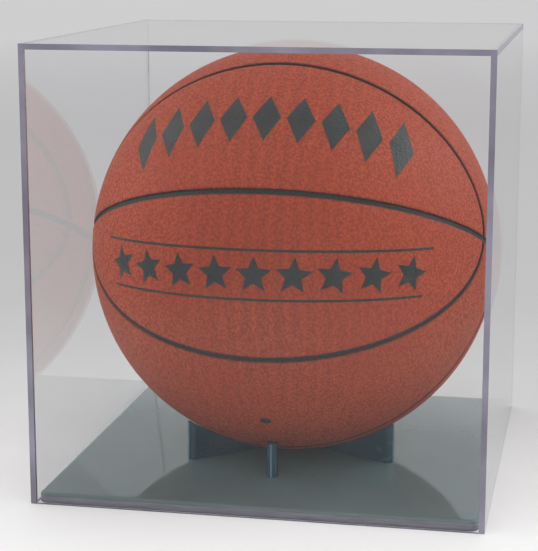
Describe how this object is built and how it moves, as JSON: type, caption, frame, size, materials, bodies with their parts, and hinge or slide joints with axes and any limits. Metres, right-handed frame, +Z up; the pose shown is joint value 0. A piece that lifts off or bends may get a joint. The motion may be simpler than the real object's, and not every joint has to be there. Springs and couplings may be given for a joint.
{
  "type": "ball display case",
  "caption": "Cube-shaped clear lift-off cover over a black base plate whose ring of low radial supports cradles a basketball.",
  "frame": {"origin": "centre of the case's square footprint, on the table", "axes": "+Z up, the way the cover lifts off; -Y towards the front, where the ball's front oval faces; +X to the right"},
  "size_m": [0.254, 0.254, 0.257],
  "materials": {
    "base": "gloss",
    "stand": "gloss",
    "cover": "clear",
    "ball_skin": "pebbled",
    "carcass": "matte",
    "winding": "wound thread",
    "bladder": "matte",
    "valve": "matte"
  },
  "bodies": {
    "base": {"base_plate": "base", "stand_fin_front_left": "stand", "stand_post_front": "stand", "stand_fin_front_right": "stand", "stand_fin_back_right": "stand", "stand_post_back": "stand", "stand_fin_back_left": "stand"},
    "cover": {"cover_top_panel": "cover", "cover_left_panel": "cover", "cover_right_panel": "cover", "cover_front_panel": "cover", "cover_back_panel": "cover"},
    "ball": {"ball_oval_front_upper": "ball_skin", "ball_band_front_upper": "ball_skin", "ball_oval_front_lower": "ball_skin", "ball_band_front_lower": "ball_skin", "ball_oval_back_upper": "ball_skin", "ball_band_back_upper": "ball_skin", "ball_oval_back_lower": "ball_skin", "ball_band_back_lower": "ball_skin", "ball_carcass": "carcass", "ball_winding": "winding", "ball_bladder": "bladder", "ball_valve": "valve"}
  },
  "joints": [
    {"name": "cover_lift", "type": "slide", "parent": "base", "child": "cover", "axis": [0, 0, 1], "range_m": [0, 0.3]},
    {"name": "ball_turn", "type": "hinge", "parent": "base", "child": "ball", "pos_m": [0, 0, 0.1283], "axis": [0, 0, 1], "continuous": true}
  ]
}
